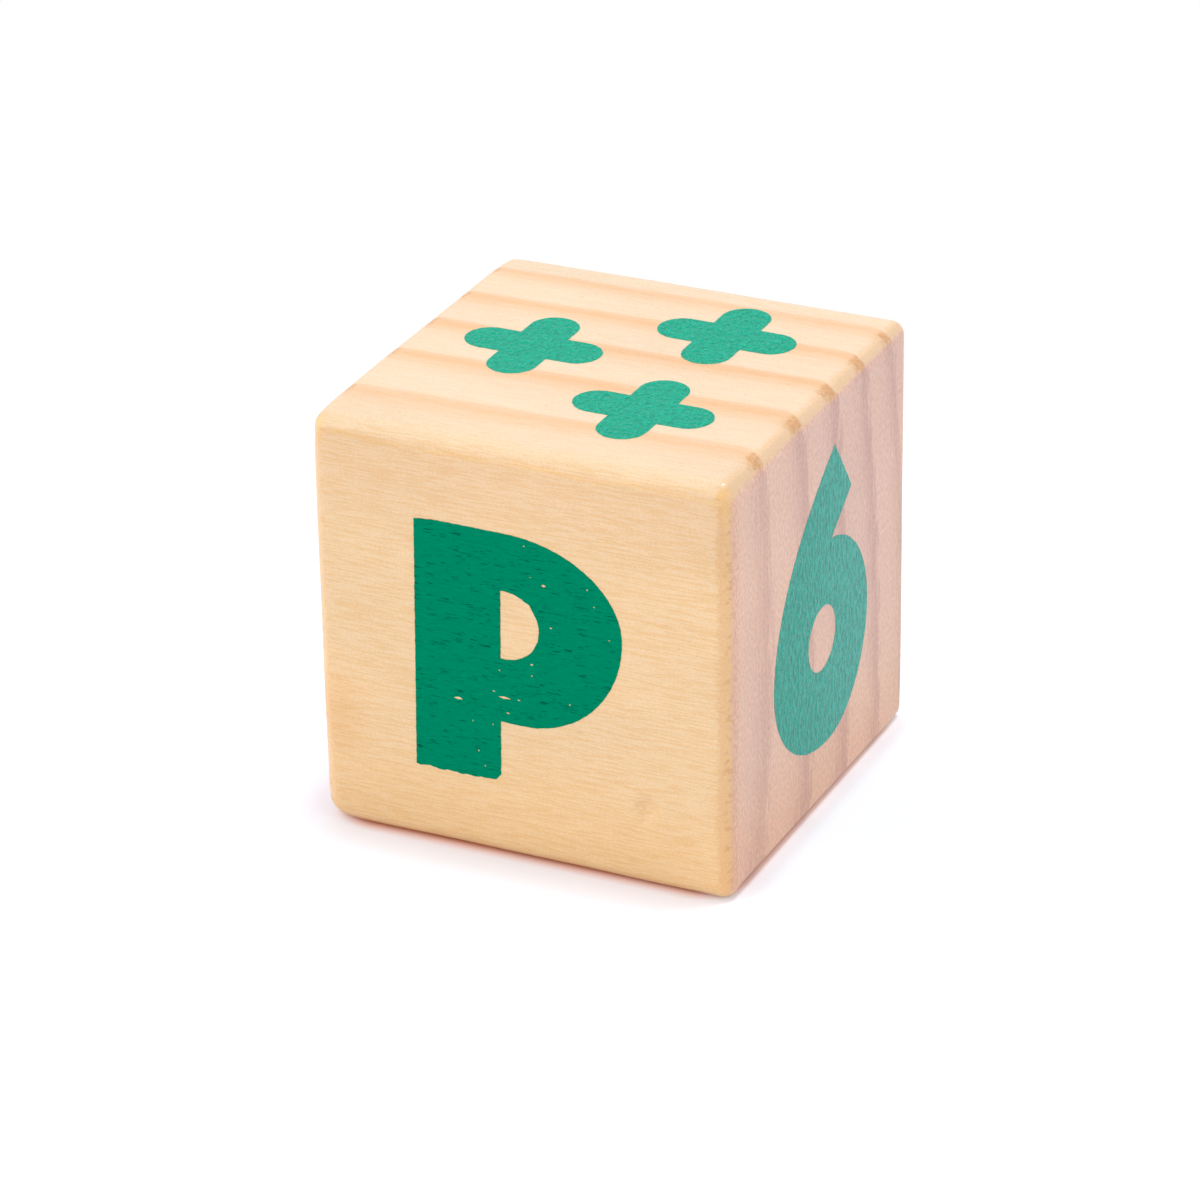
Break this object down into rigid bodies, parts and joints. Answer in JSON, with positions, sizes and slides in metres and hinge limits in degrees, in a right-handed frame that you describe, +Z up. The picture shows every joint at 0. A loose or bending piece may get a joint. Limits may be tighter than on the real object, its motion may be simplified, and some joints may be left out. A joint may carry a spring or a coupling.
{
  "type": "alphabet block",
  "caption": "Solid pine toy block with rounded edges; a stamped green letter, numeral and plain signs are inked level with its faces.",
  "frame": {"origin": "centre of the bottom face, on the surface the block stands on", "axes": "+Z up; -Y points out of the front letter face; +X points out of the right-hand numeral face, which is end grain"},
  "size_m": [0.04, 0.04, 0.04],
  "materials": {
    "pine": "clear satin lacquer",
    "green_ink": "stamped ink, satin"
  },
  "bodies": {
    "root": {"wood_block": "pine", "front_letter_ink": "green_ink", "back_letter_ink": "green_ink", "right_numeral_ink": "green_ink", "left_numeral_ink": "green_ink", "top_plus_ink_rear": "green_ink", "top_plus_ink_left": "green_ink", "top_plus_ink_front": "green_ink", "bottom_minus_ink_rear": "green_ink", "bottom_minus_ink_left": "green_ink", "bottom_minus_ink_front": "green_ink"}
  },
  "joints": []
}
